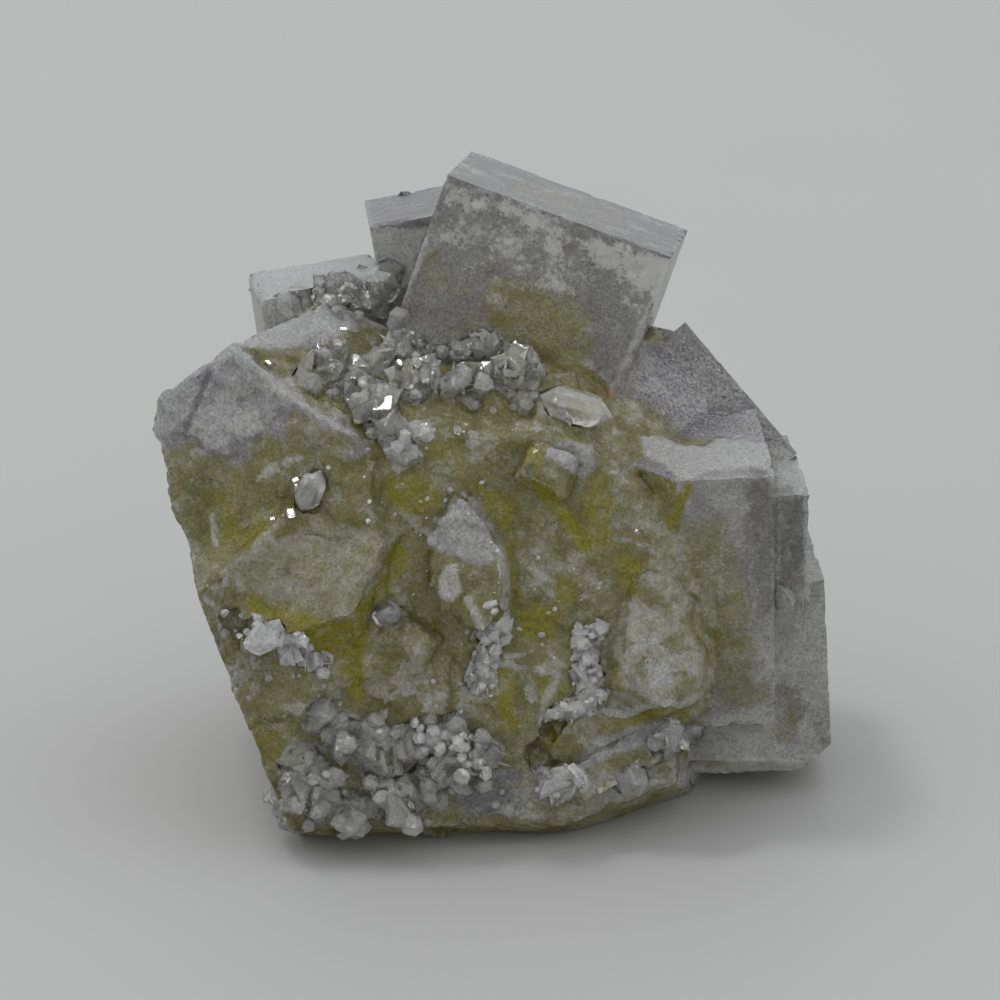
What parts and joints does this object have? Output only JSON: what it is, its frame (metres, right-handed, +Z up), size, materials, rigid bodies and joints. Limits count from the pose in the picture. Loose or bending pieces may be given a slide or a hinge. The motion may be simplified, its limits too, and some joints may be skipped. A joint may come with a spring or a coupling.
{
  "type": "quartz on fluorite mineral specimen",
  "caption": "Palm-sized cluster of intergrown translucent fluorite cubes, broken in front, with crusts of small clear quartz crystals; rests on its flat underside.",
  "frame": {"origin": "middle of the footprint box, at the level of the flat underside", "axes": "+Z up, +X to the viewer's right along the widest extent, -Y towards the viewer and the broken front"},
  "size_m": [0.0454, 0.0374, 0.042],
  "materials": {
    "fluorite": "satin",
    "quartz": "polished"
  },
  "bodies": {
    "root": {"fluorite_cluster": "fluorite", "upper_druse": "quartz", "upper_left_quartz": "quartz", "base_crust": "quartz", "front_vein": "quartz", "centre_string": "quartz", "left_string": "quartz", "pitted_quartz": "quartz", "lying_quartz": "quartz", "rounded_quartz": "quartz", "tabular_quartz": "quartz", "right_quartz": "quartz", "grey_quartz": "quartz"}
  },
  "joints": []
}
